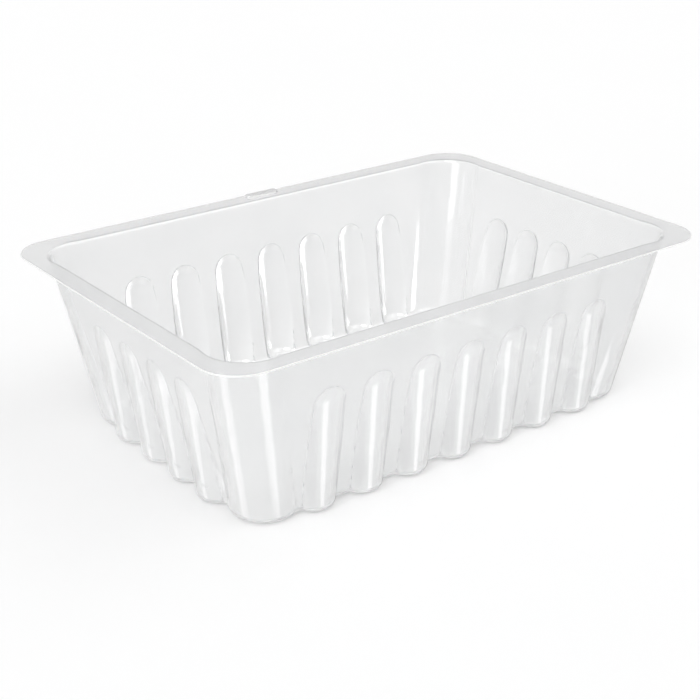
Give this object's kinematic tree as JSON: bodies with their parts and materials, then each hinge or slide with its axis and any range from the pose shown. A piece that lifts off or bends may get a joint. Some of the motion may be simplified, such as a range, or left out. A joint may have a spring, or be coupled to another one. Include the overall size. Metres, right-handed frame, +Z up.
{
  "type": "plastic food tray",
  "caption": "Rectangular tray formed in one piece from clear plastic sheet, with a flat rim flange, sloping fluted walls, rounded corners and a flat base.",
  "frame": {"origin": "middle of the underside of the base", "axes": "+Z up towards the flange, +X along the long sides, +Y towards the flange side with the pip"},
  "size_m": [0.18, 0.12, 0.0558],
  "materials": {
    "clear_sheet": "clear sheet, faintly hazy, glossy on both faces"
  },
  "bodies": {
    "root": {"tray": "clear_sheet"}
  },
  "joints": []
}
